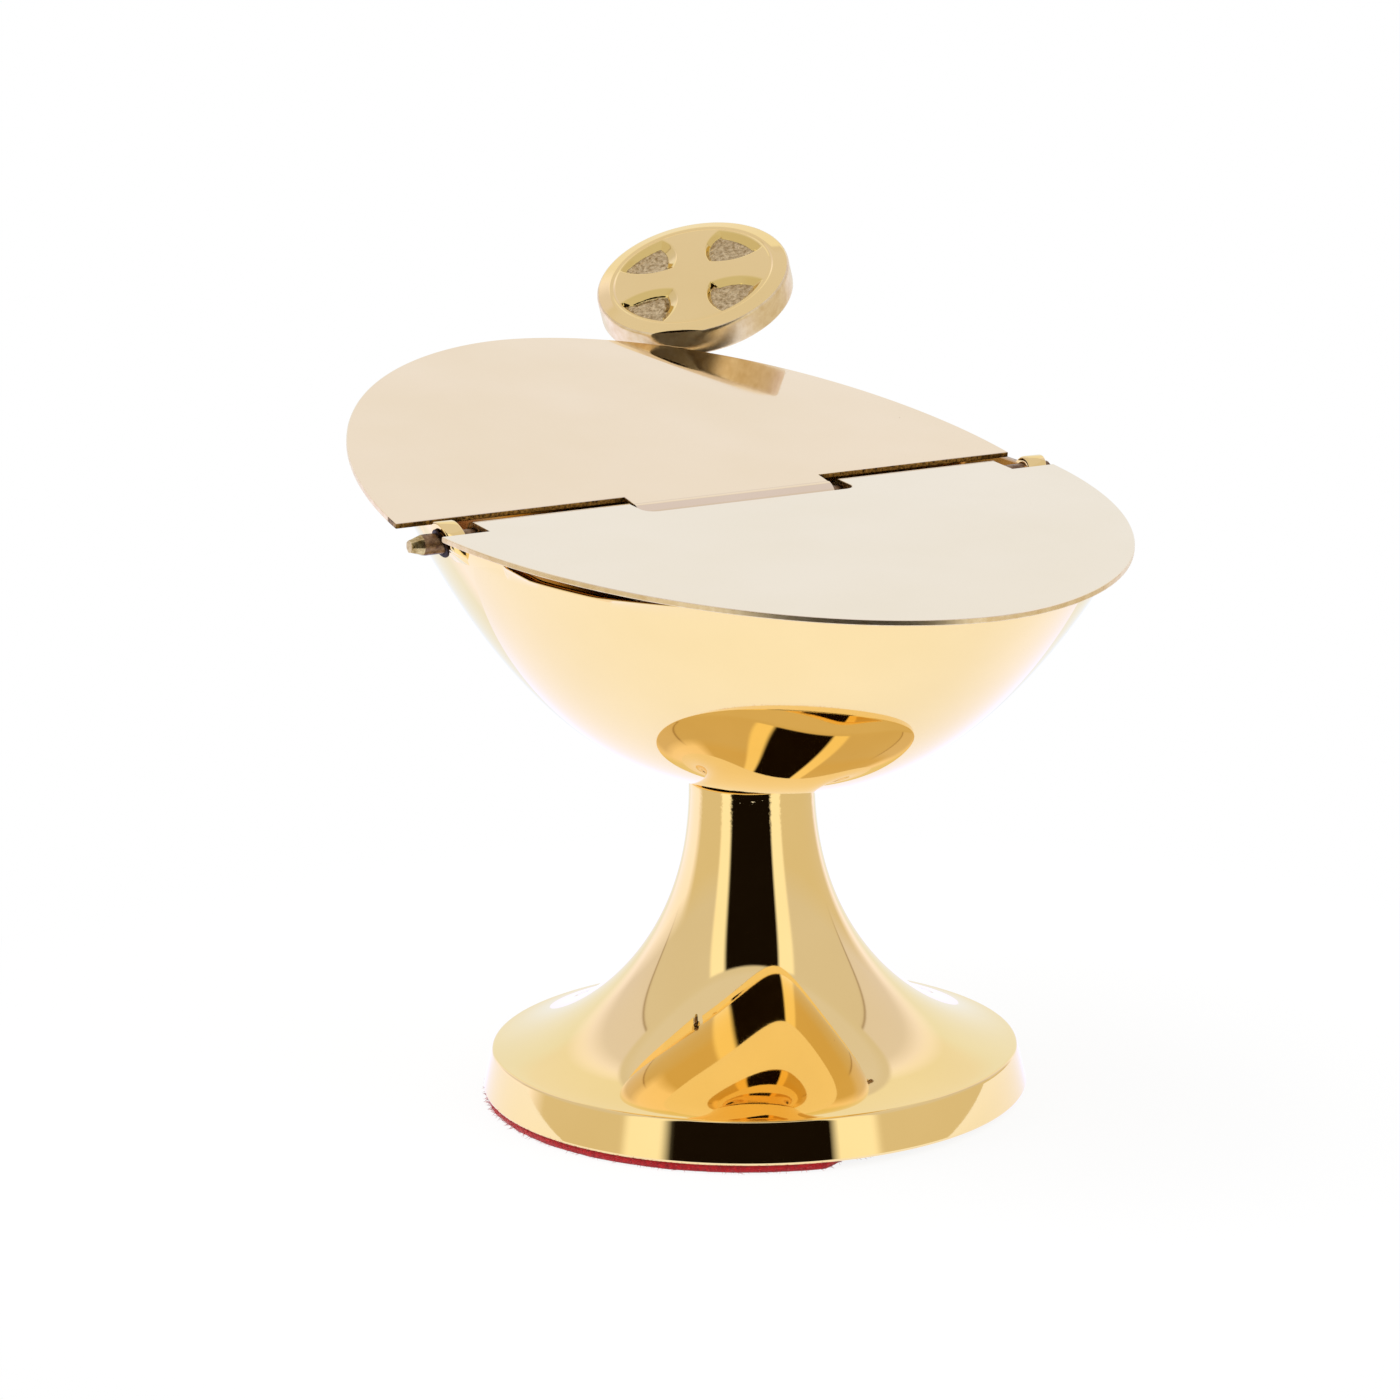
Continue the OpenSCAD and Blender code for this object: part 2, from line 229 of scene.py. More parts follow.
def polished_brass(name, tint=CAST_BRASS, wave_mm=30.0, wave=0.0, pore_mm=7.0, rough=0.035,
                   lathe=0.0):
    """Buffed brass: a tinted mirror with a faint waviness, scattered pores and lathe marks."""
    mat, tree, shader, place = start_material(name)
    # The tint is a little warmer in clouds, as polish ages unevenly
    clean = linear(tint)
    warm = (clean[0] * 0.97, clean[1] * 0.96, clean[2] * 0.92, 1.0)
    metal = ramp(tree, grain(tree, place, CLOUD_MM, 3.0), [(0.30, warm), (0.70, clean)])
    # Pores: one to a cell, and only in the cells whose random grey is high
    cells = add(tree, "ShaderNodeTexVoronoi", {"Vector": place, "Scale": per_mm(pore_mm)}).outputs
    here = maths(tree, "LESS_THAN", cells["Distance"], PORE_SIZE)
    some = add(tree, "ShaderNodeSeparateColor", {"Color": cells["Color"]}).outputs[0]
    pore = maths(tree, "MULTIPLY", here, maths(tree, "GREATER_THAN", some, CLEAN_SHARE))
    # The buffing leaves slightly duller clouds
    dull = climb(tree, grain(tree, place, SMEAR_MM, 4.0), 0.35, 0.75, rough * 0.6, rough * 1.5)
    skin = bumped(tree, grain(tree, place, wave_mm, 0.0), wave)
    if lathe:
        # Short flat grains that grow clear towards the top of the stem
        size = (per_mm(MARK_LONG), per_mm(MARK_LONG), per_mm(MARK_FINE))
        flat = add(tree, "ShaderNodeMapping", {"Vector": place, "Scale": size}).outputs[0]
        marks = add(tree, "ShaderNodeTexNoise", {"Vector": flat, "Scale": 1.0, "Detail": 2.0})
        height = add(tree, "ShaderNodeSeparateXYZ", {"Vector": place}).outputs["Z"]
        amount = climb(tree, height, MARKS_FROM * MM, MARKS_FULL * MM, 0.02, 1.0)
        skin = bumped(tree, marks.outputs["Fac"], lathe, amount, skin)
    feed(tree, shader, {"Metallic": 1.0, "Base Color": blend(tree, pore, metal, linear(PORE_BRASS)),
                        "Roughness": maths(tree, "MULTIPLY_ADD", pore, PORE_ROUGH, dull),
                        "Normal": skin})
    return mat


# Rolled sheet, buffed: it mirrors a little less sharply, and its tint is paler than the castings'
# because a painted reflection of the bright backdrop is mixed into it
finish_lid = polished_brass("polished brass sheet", SHEET_BRASS_AND_GLARE, wave_mm=26, wave=0.004, pore_mm=8,
                            rough=0.06)
# A casting buffed to a mirror: long soft waves bend what it shows
finish_bowl = polished_brass("polished cast brass bowl", wave_mm=22, wave=0.004, pore_mm=9)
# Turned true and then buffed: the straightest mirror of the three
finish_foot = polished_brass("polished turned brass foot", wave_mm=16, wave=0.002, pore_mm=9,
                             lathe=0.018)
print("buffed:", [mat.name for mat in (finish_lid, finish_bowl, finish_foot)])

# %% Machined and tarnished brass
def dull_brass(name, bright, dark, grain_mm, rough, depth):
    """Brass that nobody polished: a mottled colour and an uneven skin."""
    mat, tree, shader, place = start_material(name)
    mottle = grain(tree, place, grain_mm, 5.0, 0.65)
    colour = ramp(tree, mottle, [(0.34, linear(dark)), (0.64, linear(bright))])
    feed(tree, shader, {"Metallic": 1.0, "Base Color": colour, "Roughness": rough,
                        "Normal": bumped(tree, mottle, depth)})
    return mat


# A file leaves a pale satin edge that blurs what it mirrors
edge_brass = dull_brass("filed brass edge", "#F2DCAC", "#E4C891", 1.4, 0.32, 0.002)
# A saw leaves a rough edge whose valleys fill with dirt and stay dark
sawn_brass = dull_brass("sawn brass edge", "#B58E48", "#2A1708", 0.45, 0.40, 0.06)
# Nobody polished the inside of the bowl: it is deep orange, in large soft stains
inner_brass = dull_brass("unpolished brass inside", "#C9963F", "#96661F", 9.0, 0.22, 0.01)
# The washer is nearly black: black polishing residue, and painted shade of the gap between the pin
# and its hole
residue_and_shade_brass = dull_brass("black residue brass with painted shade", "#3E2A1C", "#1A0E08", 0.9, 0.5, 0.01)
# The nut, washer and stud in the foot came straight from the machine, plain and satin
plain_brass = dull_brass("machined brass", "#D9B877", "#A98446", 1.6, 0.32, 0.02)
# The pin is brown with tarnish, and mottled where hands and knuckles rub it
brown_brass = dull_brass("brown tarnished brass", "#A1825C", "#5E4430", 0.9, 0.38, 0.03)
# Hammer and file have bared the metal at the pin's point
bare_tip = dull_brass("hammered bright brass", "#E2CB8E", "#A08449", 0.9, 0.30, 0.04)
print("not buffed:", edge_brass.name, "/", inner_brass.name, "/", brown_brass.name)

# %% [markdown]
# ## Red felt
# Wool felt under the foot keeps it from scratching the altar. Felt is a mat of fine fibres, so
# it is matt, its colour is mottled at the scale of the fibres, and light that grazes it catches
# the loose ends, which is what the sheen gives.

# %% Felt finish
FIBRE_MM, FELT_DARK, FELT_LIGHT = 0.5, "#8E0615", "#D8121F"


def red_felt(name):
    mat, tree, shader, place = start_material(name)
    fibres = grain(tree, place, FIBRE_MM, 6.0, 0.7)
    colour = ramp(tree, fibres, [(0.3, linear(FELT_DARK)), (0.7, linear(FELT_LIGHT))])
    feed(tree, shader, {"Base Color": colour, "Roughness": 0.95, "Sheen Weight": 0.4,
                        "Sheen Roughness": 0.5, "Normal": bumped(tree, fibres, 0.15, 0.8)})
    return mat


felt_finish = red_felt("red wool felt")

# %% [markdown]
# ## The foot
# The real foot is cast and turned on a lathe, so its mesh is an outline turned round the axis.
# A low band leans in a little to a crease, and from there one long curve flares up into the
# stem. The outline is closed, with the hollow inside, so the mesh has the real wall. The outer
# radius and the heights of the felt, the nut's seat and the stem's top come from the frame.

# %% Turn the foot
foot_low, foot_high = corners("foot")
FOOT_R, FELT_T, STEM_TOP = foot_high[0], foot_low[2], foot_high[2]
SEAT_Z, SEAT_R = corners("foot_washer")[1][2], 8.0
STUD_BORE = corners("stem_stud")[1][0] + 0.1
BAND_TOP, CREASE_R, NECK_R, FOOT_WALL = 6.4, 33.6, 8.05, 1.8
FLARE_OUT, FLARE_UP, NECK_START, TOP_ROUND, EDGE_ROUND = 5.6, 0.6, 8.6, 0.4, 0.3
CEILING_DROP, FLARE_STEPS = 1.2, 110


def foot_outline():
    """Radius and height of each point: up the outside, over the top, down the hollow."""
    stem_end = STEM_TOP - TOP_ROUND
    flare = bezier([CREASE_R, BAND_TOP], [CREASE_R - FLARE_OUT, BAND_TOP + FLARE_UP],
                   [NECK_R, BAND_TOP + NECK_START], [NECK_R, stem_end], FLARE_STEPS)
    # The crease and the stem's lip are each broken by a small curve
    corner = bezier([CREASE_R + 0.33, BAND_TOP - 0.45], [CREASE_R + 0.27, BAND_TOP - 0.12],
                    [CREASE_R + 0.10, BAND_TOP - 0.01], flare[1], 6)
    lip = bezier([NECK_R, stem_end], [NECK_R, STEM_TOP - 0.15],
                 [NECK_R - 0.1, STEM_TOP], [NECK_R - 0.35, STEM_TOP], 6)
    outside = [[FOOT_R - EDGE_ROUND, FELT_T], [FOOT_R - 0.09, FELT_T + 0.09],
               [FOOT_R, FELT_T + EDGE_ROUND], [FOOT_R - 0.02, FELT_T + 0.4]]
    outside += corner.tolist() + flare[2:-1].tolist() + lip.tolist() + [[STUD_BORE, STEM_TOP]]
    inner = [p for p in (flare[::-1] - [FOOT_WALL, 0]).tolist() if BAND_TOP < p[1] < SEAT_Z - 1]
    inside = [[STUD_BORE, SEAT_Z], [SEAT_R, SEAT_Z]]
    inside += [[r, z - CEILING_DROP] for r, z in inner[::4]]
    return outside + inside + [[CREASE_R - FOOT_WALL, BAND_TOP - 1.5], [FOOT_R - FOOT_WALL, FELT_T]]


foot = turn_up("foot_skin", foot_outline(), 256, sharp=50)
foot.data.materials.append(finish_foot)
print("foot:", tri_count(foot), "triangles")

# %% [markdown]
# ## The felt pad
# The pad was cut by hand and glued on, so it stands out a little on one side, falls short of
# the foot where the knife ran inside the line, and frays at its edge. The disc is turned like the
# foot, pushed to one side and roughened, and then cut back over part of its edge.

# %% Cut the felt pad
FELT_R, FELT_FLAT_R, FELT_OUT, FELT_IN, FELT_RAGGED = 34.3, 30.0, 0.45, 2.4, 0.16
FELT_SIDE, FELT_SHORT, FELT_HALF = math.radians(-67), math.radians(23), math.radians(38)
CUT_RUN = 0.09


def uneven(points):
    """Pushes the pad's edge to one side, roughens it, and cuts it back where it falls short."""
    out = points.copy()
    r = np.hypot(points[:, 0], points[:, 1])
    ang = np.arctan2(points[:, 1], points[:, 0])
    rough = np.array([noise.noise(Vector((7 * math.cos(a), 7 * math.sin(a), z)))
                      + 0.5 * noise.noise(Vector((31 * math.cos(a), 31 * math.sin(a), 3 * z)))
                      for a, z in zip(ang, points[:, 2])])
    short = np.abs((ang - FELT_SHORT + math.pi) % (2 * math.pi) - math.pi)
    cut_back = FELT_IN * np.clip((FELT_HALF - short) / CUT_RUN, 0, 1)
    push = FELT_OUT * np.cos(ang - FELT_SIDE) + FELT_RAGGED * rough - cut_back
    push = np.where(r > FELT_FLAT_R + 1, push, 0)
    out[:, :2] *= ((r + push) / np.maximum(r, 1e-6))[:, None]
    return out


felt = turn_up("felt_disc", [
    [0.5, 0.0], [FELT_FLAT_R, 0.0], [FELT_R - 0.35, 0.0], [FELT_R - 0.08, 0.15], [FELT_R, 0.4],
    [FELT_R, 0.7], [FELT_R - 0.12, 0.92], [FELT_R - 0.4, FELT_T], [FELT_FLAT_R, FELT_T],
    [0.5, FELT_T]], 360, 60, uneven)
felt.data.materials.append(felt_finish)
print("felt pad:", tri_count(felt), "triangles")

# %% [markdown]
# ## Loose fibres with Geometry Nodes
# A frayed edge is the same fibre many times over, which is work for Geometry Nodes: points are
# scattered on the pad's edge, a thin tapered fibre is put on each, turned and scaled at random
# from a fixed seed, and the copies are made real so that they can be exported. A fibre that
# would dip below the table is bent up to lie on it.

# %% Fray the felt
def fray_tree():
    tree = bpy.data.node_groups.new("felt fibres", "GeometryNodeTree")
    face = tree.interface
    face.new_socket("Edge", in_out="INPUT", socket_type="NodeSocketGeometry")
    for label, value in (("Fibres per m2", 9.0e6), ("Fibre length", 0.55 * MM),
                         ("Fibre radius", 0.028 * MM)):
        face.new_socket(label, in_out="INPUT", socket_type="NodeSocketFloat").default_value = value
    face.new_socket("Seed", in_out="INPUT", socket_type="NodeSocketInt").default_value = 4
    face.new_socket("Fibres", in_out="OUTPUT", socket_type="NodeSocketGeometry")
    given = add(tree, "NodeGroupInput").outputs
    cone = add(tree, "GeometryNodeMeshCone",
               {"Vertices": 4, "Radius Top": 0.004 * MM, "Radius Bottom": given["Fibre radius"],
                "Depth": given["Fibre length"]}, fill_type="TRIANGLE_FAN")
    spots = add(tree, "GeometryNodeDistributePointsOnFaces",
                {"Mesh": given["Edge"], "Density": given["Fibres per m2"], "Seed": given["Seed"]})
    lean = add(tree, "FunctionNodeRandomValue",
               {0: (-0.9, -0.9, -3.1), 1: (0.9, 0.9, 3.1), "Seed": given["Seed"]},
               data_type="FLOAT_VECTOR").outputs[0]
    size = add(tree, "FunctionNodeRandomValue",
               {2: 0.4, 3: 1.5, "Seed": given["Seed"]}, data_type="FLOAT").outputs[1]
    place = add(tree, "GeometryNodeInstanceOnPoints",
                {"Points": spots.outputs["Points"], "Instance": cone.outputs["Mesh"],
                 "Rotation": spots.outputs["Rotation"], "Scale": size})
    swing = add(tree, "GeometryNodeRotateInstances",
                {"Instances": place.outputs["Instances"], "Rotation": lean})
    real = add(tree, "GeometryNodeRealizeInstances", {"Geometry": swing.outputs["Instances"]})
    painted = add(tree, "GeometryNodeSetMaterial",
                  {"Geometry": real.outputs["Geometry"], "Material": felt_finish})
    add(tree, "NodeGroupOutput", {"Fibres": painted.outputs["Geometry"]})
    return tree


def bake(piece):
    """Replaces a modified object's mesh by its evaluated result, and drops the modifiers."""
    graph = bpy.context.evaluated_depsgraph_get()
    mesh = bpy.data.meshes.new_from_object(piece.evaluated_get(graph))
    piece.modifiers.clear()
    piece.data = mesh
    return piece


edge_points = np.concatenate([uneven(ring(FELT_R, z, 360)) for z in (0.12, 0.5, 0.9)])
fuzz = make_piece("felt_fibres", edge_points, grid_faces(3, 360))
fraying = fuzz.modifiers.new("fray", "NODES")
fraying.node_group = fray_tree()
bake(fuzz)
for vertex in fuzz.data.vertices:
    vertex.co.z = max(vertex.co.z, 0.0)
print("felt fibres:", tri_count(fuzz), "triangles")

# %% [markdown]
# ## The bowl
# The real bowl is cast as an oval shell and ground smooth. Every level is the same boat-shaped
# oval, grown quickly at the bottom and slowly at the rim, and the rim falls a little to the
# front. Near the pin the rim stands up a little in a step, and there the wall is carried over the
# pin as an ear. In front of that step the left side is worn low, so that a dark slit shows under
# the lid. The shell is a grid of rings: up the outside, over the rim, down the inside.

# %% Shape the bowl
BOWL_A, BOWL_B, BOAT_N, BOWL_FULL = corners("bowl")[1][0], 42.0, 1.888, 0.40
BOWL_Z, RIM_Z, RIM_FALL, BOWL_WALL = 41.6, 76.95, math.radians(3.2), 1.4
RAISE_X, RAISE_H, RAISE_RUN = 11.0, 0.8, 0.5
RIM_WORN, WORN_SIDE = 1.5, 10
WORN_AT, WORN_SHARE = [RAISE_X, RAISE_X + 1, 17, 27, 46], [0, 0.5, 1, 1, 0]
RIM_BAND, RING_COUNT, RING_CROWD, AROUND = 2.2, 91, 2.2, 320
INSIDE_STEP = 0.020


def oval(ang, a, b):
    """Points of the boat's outline: an ellipse with slightly pointed ends."""
    c, s = np.cos(ang), np.sin(ang)
    return (a * np.sign(c) * np.abs(c) ** (2 / BOAT_N), b * np.sign(s) * np.abs(s) ** (2 / BOAT_N))


def rim_angles(steps):
    """Even places round the oval, and extra ones where the raised stretch ends."""
    ang = list(np.linspace(0, 2 * math.pi, steps, endpoint=False))
    for x in (RAISE_X + 0.75, RAISE_X + 0.6, RAISE_X + 0.1, RAISE_X - 0.05):
        a = math.acos((x / BOWL_A) ** (BOAT_N / 2))
        ang += [a, math.pi - a, math.pi + a, 2 * math.pi - a]
    return np.array(sorted(ang))


def bowl_ring(ang, inset, t, floor, lift):
    """One ring of the shell at the share t of its height. Only the rim's rings are lifted."""
    s = t ** BOWL_FULL
    x, y = oval(ang, (BOWL_A - inset) * s, (BOWL_B - inset) * s)
    raised = np.clip((RAISE_X + 0.6 - np.abs(x)) / RAISE_RUN, 0, 1) * RAISE_H
    worn = RIM_WORN * np.interp(x, WORN_AT, WORN_SHARE) * np.clip(-y / WORN_SIDE, 0, 1)
    fall = x * math.tan(RIM_FALL)
    z = BOWL_Z + floor + t * (RIM_Z - BOWL_Z - floor - fall) + lift * (raised - worn)
    return np.column_stack([x, y, z])


def bowl_shell():
    ang = rim_angles(AROUND)
    top = 1 - RIM_BAND / (RIM_Z - BOWL_Z)
    shares = (np.linspace(0, 1, RING_COUNT)[1:]) ** RING_CROWD * top
    rings = [bowl_ring(ang, 0, t, 0, 0) for t in shares]
    # Over the rim, whose two edges are broken by a small rounding
    for inset, t in ((0, 0.996), (0.04, 0.9985), (0.16, 0.9998), (BOWL_WALL - 0.16, 0.9998),
                     (BOWL_WALL - 0.04, 0.9985)):
        rings.append(bowl_ring(ang, inset, t, 0, 1))
    rings += [bowl_ring(ang, BOWL_WALL, t, BOWL_WALL, 0) for t in shares[::-2]]
    n, cols = len(rings), len(ang)
    points = np.concatenate(rings + [[[0, 0, BOWL_Z]], [[0, 0, BOWL_Z + BOWL_WALL]]])
    low, high, last = n * cols, n * cols + 1, (n - 1) * cols
    faces = grid_faces(n, cols)
    faces += [(low, (j + 1) % cols, j) for j in range(cols)]
    faces += [(high, last + j, last + (j + 1) % cols) for j in range(cols)]
    return points, faces


bowl = make_piece("bowl_shell", *bowl_shell(), sharp=32)
for finish in (finish_bowl, inner_brass):
    bowl.data.materials.append(finish)
# A face that lies further in than the outside does at its height belongs to the inside
for face in bowl.data.polygons:
    x, y, z = (c / MM for c in face.center)
    share = max(0.0, (z - BOWL_Z) / (RIM_Z - x * math.tan(RIM_FALL) - BOWL_Z)) ** BOWL_FULL
    reach = (abs(x / BOWL_A) ** BOAT_N + abs(y / BOWL_B) ** BOAT_N) ** (1 / BOAT_N)
    face.material_index = 1 if reach < share - INSIDE_STEP else 0
print("bowl:", tri_count(bowl), "triangles")

# %% [markdown]
# ## The ears
# Each ear is the wall carried up over the pin: an arch that leans outwards with the bowl's side,
# with the pin's hole through it. The left ear is the larger one. The outline and the hole have
# the same number of points, so the two faces are simple strips, and a small bevel breaks the
# edges as a file would.

# %% File the ears
PIN_Z = round(frame["joints"][0]["pos_m"][2] / MM, 2)
pin_low, pin_high = corners("hinge_pin")
PIN_LEFT, PIN_RIGHT, PIN_R = -pin_low[1], pin_high[1], pin_high[0]
EAR_OUT, EAR_T, EAR_LEAN, EAR_FOOT = 43.1, 2.6, math.radians(18), 3.4
LEFT_EAR_R, RIGHT_EAR_R, EAR_BEVEL = 2.65, 2.2, 0.28
EAR_SUNK, BLEND_FROM, BLEND_RUN = 0.3, 0.7, 1.6


def break_edges(piece, width_mm, segments):
    """Takes the edge off every corner over 50 degrees, as a file would."""
    soft = piece.modifiers.new("broken edge", "BEVEL")
    soft.width, soft.segments, soft.limit_method = width_mm * MM, segments, "ANGLE"
    soft.angle_limit = math.radians(50)
    bake(piece)


def ear(name, side, radius, half=48, side_steps=12):
    """An ear on one side of the bowl: -1 is the left, and 1 the right."""
    up = np.linspace(0, math.pi, half)
    down = np.linspace(0, -EAR_FOOT, side_steps + 1)[1:]
    foot_run = np.linspace(-radius, radius, side_steps + 2)[1:-1]
    outline = np.array([*zip(radius * np.cos(up), radius * np.sin(up)),
                        *((-radius, z) for z in down), *((x, -EAR_FOOT) for x in foot_run),
                        *((radius, z) for z in down[::-1])])
    ang = np.arctan2(outline[:, 1], outline[:, 0])
    bore = np.stack([PIN_R * np.cos(ang), PIN_R * np.sin(ang)], 1)
    n = len(outline)
    mid = side * (EAR_OUT - EAR_T / 2)
    loops = []
    for loop, across in ((outline, -0.5), (outline, 0.5), (bore, 0.5), (bore, -0.5)):
        y = mid + across * EAR_T + side * loop[:, 1] * math.tan(EAR_LEAN)
        if side * across > 0:
            # Below the pin the outer face runs into the bowl's wall
            share = (PIN_Z + loop[:, 1] - BOWL_Z) / (RIM_Z - BOWL_Z)
            wall = BOWL_B * share ** BOWL_FULL - EAR_SUNK
            blend = np.clip((-loop[:, 1] - BLEND_FROM) / BLEND_RUN, 0, 1)
            y = y * (1 - blend) + side * wall * blend
        loops.append(np.column_stack([loop[:, 0], y, PIN_Z + loop[:, 1]]))
    faces = [(a * n + j, b * n + j, b * n + (j + 1) % n, a * n + (j + 1) % n)
             for a, b in ((0, 1), (1, 2), (2, 3), (3, 0)) for j in range(n)]
    piece = make_piece(name, np.concatenate(loops), faces)
    break_edges(piece, EAR_BEVEL, 3)
    piece.data.set_sharp_from_angle(angle=math.radians(40))
    piece.data.materials.append(finish_bowl)
    return piece


ears = [ear("left_ear", -1, LEFT_EAR_R), ear("right_ear", 1, RIGHT_EAR_R)]
print("ears:", tri_count(ears[0]), "and", tri_count(ears[1]), "triangles")

# %% [markdown]
# ## The hinge pin
# A length of brass rod, cut and hammered into the ears and never polished: brown along its
# length, with a pointed end where the hammer and the file left bright uneven facets. It is
# turned along the pin's axis and its point is then pressed in to a few flats.

# %% Drive in the pin
PIN_POINT, POINT_R, END_ROUND = 1.6, 0.8, 0.3
FLATS, FLAT_TURN, FLAT_DEPTH, PIN_ROUGH = 7, 0.35, 0.8, 0.02


def hammered(points):
    """Presses flats into the pin's point, roughens the whole pin, and lays it in place."""
    out = points.copy()
    half = math.pi / FLATS
    ang = np.arctan2(points[:, 1], points[:, 0])
    near = np.clip(1 - points[:, 2] / (PIN_POINT + 0.5), 0, 1)
    flat = np.cos((ang + FLAT_TURN + half) % (2 * half) - half)
    press = (math.cos(half) / flat - 1) * np.minimum(FLAT_DEPTH, 2 * near)
    press = np.where(near > 0, press, 0)
    rough = np.array([noise.noise(Vector(p) * 1.1) for p in points])
    out[:, :2] *= (1 + press + PIN_ROUGH * rough)[:, None]
    out[:, 2] += np.where(points[:, 2] < 0.05, 0.03 * rough, 0)
    return np.column_stack([out[:, 0], out[:, 2] - PIN_LEFT, PIN_Z - out[:, 1]])


length = PIN_LEFT + PIN_RIGHT
rod = [[r, 0] for r in (0.05, 0.3, 0.55, 0.72, POINT_R)]
rod += [[POINT_R + (PIN_R - POINT_R) * t, 0.06 + (PIN_POINT - 0.06) * t]
        for t in np.linspace(0.02, 1, 14)]
rod += [[PIN_R, z] for z in np.linspace(PIN_POINT + 0.1, 6, 24)]
rod += [[PIN_R, z] for z in np.linspace(7, length - END_ROUND, 40)]
rod += [[PIN_R - END_ROUND, length], [0.05, length]]
pin = turn_up("pin_rod", rod, 84, 32, hammered)
pin.data.materials.append(brown_brass)
pin.data.materials.append(bare_tip)
# The bare metal ends in an uneven line behind the point
for face in pin.data.polygons:
    tip = face.center.y / MM + PIN_LEFT
    face.material_index = 1 if tip < PIN_POINT + 0.35 * noise.noise(face.center / MM) else 0
print("pin:", round(length, 1), "mm long")

# %% [markdown]
# ## The washer
# A thin loose washer lies on the left ear, a little bent and nearly black: black polishing
# residue, and painted shade of the gap between the pin and its hole. It is turned like the
# other round pieces, bent, and then leaned against the ear.

# %% Fit the washer
WASHER_BORE, WASHER_R, WASHER_LOW, WASHER_TOP = PIN_R + 0.02, 1.86, -0.34, -0.08
WASHER_BENT = 0.07


def on_ear(points):
    """Turns a washer made about Z so that it lies on the left ear's leaning face."""
    turn = np.array(Matrix.Rotation(math.radians(-90) + EAR_LEAN, 3, "X"))
    out = points.copy()
    out[:, 2] += WASHER_BENT * np.sin(2 * np.arctan2(points[:, 1], points[:, 0]))
    return out @ turn.T + [0, -EAR_OUT, PIN_Z]


washer = turn_up("thin_washer", [
    [WASHER_BORE, WASHER_LOW], [WASHER_R - 0.06, WASHER_LOW], [WASHER_R, WASHER_LOW + 0.05],
    [WASHER_R, WASHER_TOP - 0.05], [WASHER_R - 0.06, WASHER_TOP], [WASHER_BORE, WASHER_TOP]],
    72, 40, on_ear)
# Nearly black: polishing residue, and painted shade of the gap round the pin
washer.data.materials.append(residue_and_shade_brass)
print("washer:", tri_count(washer), "triangles")

# %% [markdown]
# ## The lids
# Each half lid is a sheet cut to the boat's outline, with its knuckles rolled from the same
# sheet round the pin. The outline is drawn flat about the pin's axis, given the sheet's
# thickness and a broken edge, and turned to the slope at which the lid lies. The front lid has
# two knuckles and the rear lid one, and each lid is cut away where the other's knuckle turns.
# Both lids sit a little to the left along the pin.

# %% Draw the lids' outlines
LID_A, LID_B, SHEET, TOP_W = 62.1, 44.2, 0.7, 2.1
LOW_W = TOP_W - SHEET
FRONT_SLOPE, REAR_SLOPE = math.radians(4.2), math.radians(10.5)
FRONT_SLIDE, REAR_SLIDE = -1.3, -4.0
FRONT_KNUCKLES, REAR_KNUCKLES = ((-38.8, -17.0), (13.1, 36.5)), ((-16.6, 11.5),)
FRONT_NOTCH, EAR_NOTCH, NOTCH_R, REAR_CUT = 4.4, 4.4, 1.6, 2.6


def lid_arc(sign, slide, from_x, n=260):
    """The lid's outer edge, from one end of the hinge side to the other, as x and y."""
    ang = np.linspace(-math.pi / 2, math.pi / 2, n)
    x, y = oval(ang, LID_A, LID_B)
    keep = x > from_x
    edge = math.asin((1 - (from_x / LID_A) ** BOAT_N) ** 0.5)
    end_y = LID_B * math.sin(edge) ** (2 / BOAT_N)
    x = np.concatenate([[from_x], x[keep], [from_x]])
    y = np.concatenate([[-end_y], y[keep], [end_y]])
    return np.column_stack([sign * x, y + slide])


def notch_corner(x, y, turn, n=7):
    """A rounded inner corner of a notch."""
    a = np.radians(np.linspace(turn[0], turn[1], n))
    return np.column_stack([x + NOTCH_R * np.cos(a), y + NOTCH_R * np.sin(a)])


(left_start, left_end), (right_start, right_end) = FRONT_KNUCKLES
(middle_start, middle_end), = REAR_KNUCKLES
front_outline = np.concatenate([
    lid_arc(1, FRONT_SLIDE, EAR_NOTCH),
    [[EAR_NOTCH, right_end], [0, right_end], [0, right_start]],
    notch_corner(FRONT_NOTCH - NOTCH_R, right_start - NOTCH_R, (90, 0)),
    notch_corner(FRONT_NOTCH - NOTCH_R, left_end + NOTCH_R, (0, -90)),
    [[0, left_end], [0, left_start], [EAR_NOTCH, left_start]],
])
rear_outline = np.concatenate([
    lid_arc(-1, REAR_SLIDE, REAR_CUT)[::-1],
    [[-REAR_CUT, middle_start], [0, middle_start], [0, middle_end], [-REAR_CUT, middle_end]],
])
print("outlines:", len(front_outline), "and", len(rear_outline), "points")

# %% Cut and roll the lids
ROLL, ROLL_STEPS, BROKEN_EDGE = 318, 64, 0.13
POLISHED, PLAIN, FILED, SAWN = 0, 1, 2, 3
HINGE_SIDE, LEVEL = 4.9, 0.75


def to_slope(points, slope):
    """Turns points drawn about the pin's axis to a lid's slope, and lifts them to the pin."""
    points = np.asarray(points, float)
    c, s = math.cos(slope), math.sin(slope)
    x, y, z = points.T
    return np.column_stack([x * c + z * s, y, -x * s + z * c + PIN_Z])


